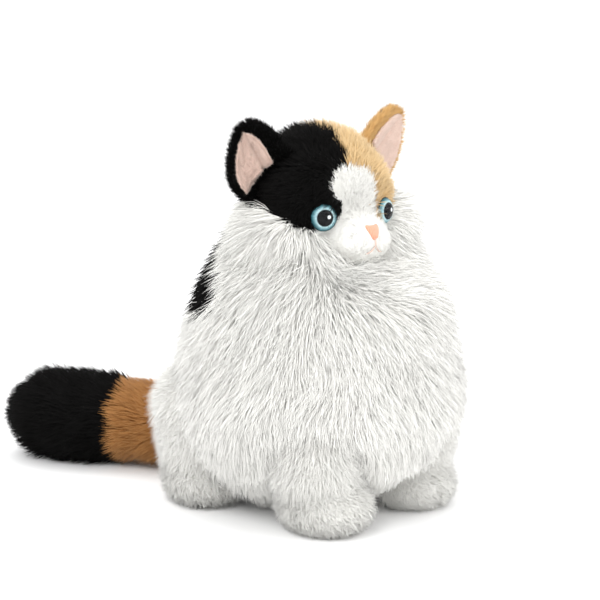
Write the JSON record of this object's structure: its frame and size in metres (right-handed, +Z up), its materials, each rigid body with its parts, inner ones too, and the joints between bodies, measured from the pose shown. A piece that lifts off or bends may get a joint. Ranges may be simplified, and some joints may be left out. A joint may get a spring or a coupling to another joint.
{
  "type": "plush cat",
  "caption": "Sitting long-haired calico plush cat with a stuffed body, folding ears, swinging legs and a bushy tail that turns and lifts.",
  "frame": {"origin": "centre of the flat belly base, on the surface the cat sits on", "axes": "+Z up, -Y the way the cat faces, +X to the left side of the cat"},
  "size_m": [0.2199, 0.3909, 0.3006],
  "materials": {
    "white_long_pile": "long soft pile",
    "white_short_pile": "short soft pile",
    "black_pile": "medium soft pile",
    "orange_pile": "medium soft pile",
    "pink_lining": "brushed short nap",
    "eye_clear": "polished",
    "eye_iris": "gloss",
    "eye_plastic": "moulded",
    "nose_thread": "satin stitch",
    "sewing_thread": "twisted thread",
    "stuffing": "fibre fill",
    "pouch_fabric": "plain weave",
    "pellets": "granules",
    "seam_tape": "plain weave"
  },
  "bodies": {
    "torso": {"back_patch_black": "black_pile", "belly_base_panel": "white_long_pile", "closing_seam_stitches": "sewing_thread", "eye_left_dome": "eye_clear", "eye_left_iris": "eye_iris", "eye_left_shank": "eye_plastic", "eye_left_washer": "eye_plastic", "eye_right_dome": "eye_clear", "eye_right_iris": "eye_iris", "eye_right_shank": "eye_plastic", "eye_right_washer": "eye_plastic", "face_panel_white": "white_short_pile", "head_cover_left_orange": "orange_pile", "head_cover_right_black": "black_pile", "head_stuffing": "stuffing", "mouth_stitches": "sewing_thread", "nape_patch_black": "black_pile", "nose_embroidery": "nose_thread", "pellet_fill": "pellets", "pellet_pouch": "pouch_fabric", "ruff_left": "white_long_pile", "ruff_right": "white_long_pile", "torso_back_panel": "white_long_pile", "torso_chest_panel": "white_long_pile", "torso_left_panel": "white_long_pile", "torso_right_panel": "white_long_pile", "torso_stuffing": "stuffing"},
    "ear_right": {"ear_right_back": "black_pile", "ear_right_lining": "pink_lining"},
    "front_leg_right": {"front_leg_right_cover": "white_short_pile", "front_leg_right_sole": "white_short_pile", "front_leg_right_stuffing": "stuffing", "front_leg_right_toe_stitches": "sewing_thread"},
    "hind_leg_right": {"hind_leg_right_cover": "white_short_pile", "hind_leg_right_sole": "white_short_pile", "hind_leg_right_stuffing": "stuffing", "hind_leg_right_toe_stitches": "sewing_thread"},
    "ear_left": {"ear_left_back": "orange_pile", "ear_left_lining": "pink_lining"},
    "front_leg_left": {"front_leg_left_cover": "white_short_pile", "front_leg_left_sole": "white_short_pile", "front_leg_left_stuffing": "stuffing", "front_leg_left_toe_stitches": "sewing_thread"},
    "hind_leg_left": {"hind_leg_left_cover": "white_short_pile", "hind_leg_left_sole": "white_short_pile", "hind_leg_left_stuffing": "stuffing", "hind_leg_left_toe_stitches": "sewing_thread"},
    "tail_root": {"tail_root_seam": "seam_tape"},
    "tail": {"tail_base_cover": "orange_pile", "tail_tip_cover": "black_pile", "tail_stuffing": "stuffing"}
  },
  "joints": [
    {"name": "tail_swing", "type": "hinge", "parent": "torso", "child": "tail_root", "pos_m": [0, 0.108, 0.036], "axis": [0, 0, 1], "range_deg": [-70, 15]},
    {"name": "tail_lift", "type": "hinge", "parent": "tail_root", "child": "tail", "pos_m": [0, 0.108, 0.036], "axis": [0.8829, 0.4695, 0], "range_deg": [0, 45]},
    {"name": "ear_right_fold", "type": "hinge", "parent": "torso", "child": "ear_right", "pos_m": [-0.0565, -0.002, 0.2646], "axis": [0.5779, 0, 0.8161], "range_deg": [-20, 35], "stiffness_Nm_per_rad": 0.05},
    {"name": "ear_left_fold", "type": "hinge", "parent": "torso", "child": "ear_left", "pos_m": [0.0565, -0.002, 0.2646], "axis": [0.5779, 0, -0.8161], "range_deg": [-20, 35], "stiffness_Nm_per_rad": 0.05},
    {"name": "front_leg_right_swing", "type": "hinge", "parent": "torso", "child": "front_leg_right", "pos_m": [-0.048, -0.046, 0.05], "axis": [1, 0, 0], "range_deg": [-10, 10]},
    {"name": "hind_leg_right_swing", "type": "hinge", "parent": "torso", "child": "hind_leg_right", "pos_m": [-0.058, 0.058, 0.06], "axis": [1, 0, 0], "range_deg": [-8, 8]},
    {"name": "front_leg_left_swing", "type": "hinge", "parent": "torso", "child": "front_leg_left", "pos_m": [0.048, -0.046, 0.05], "axis": [1, 0, 0], "range_deg": [-10, 10]},
    {"name": "hind_leg_left_swing", "type": "hinge", "parent": "torso", "child": "hind_leg_left", "pos_m": [0.058, 0.058, 0.06], "axis": [1, 0, 0], "range_deg": [-8, 8]}
  ]
}
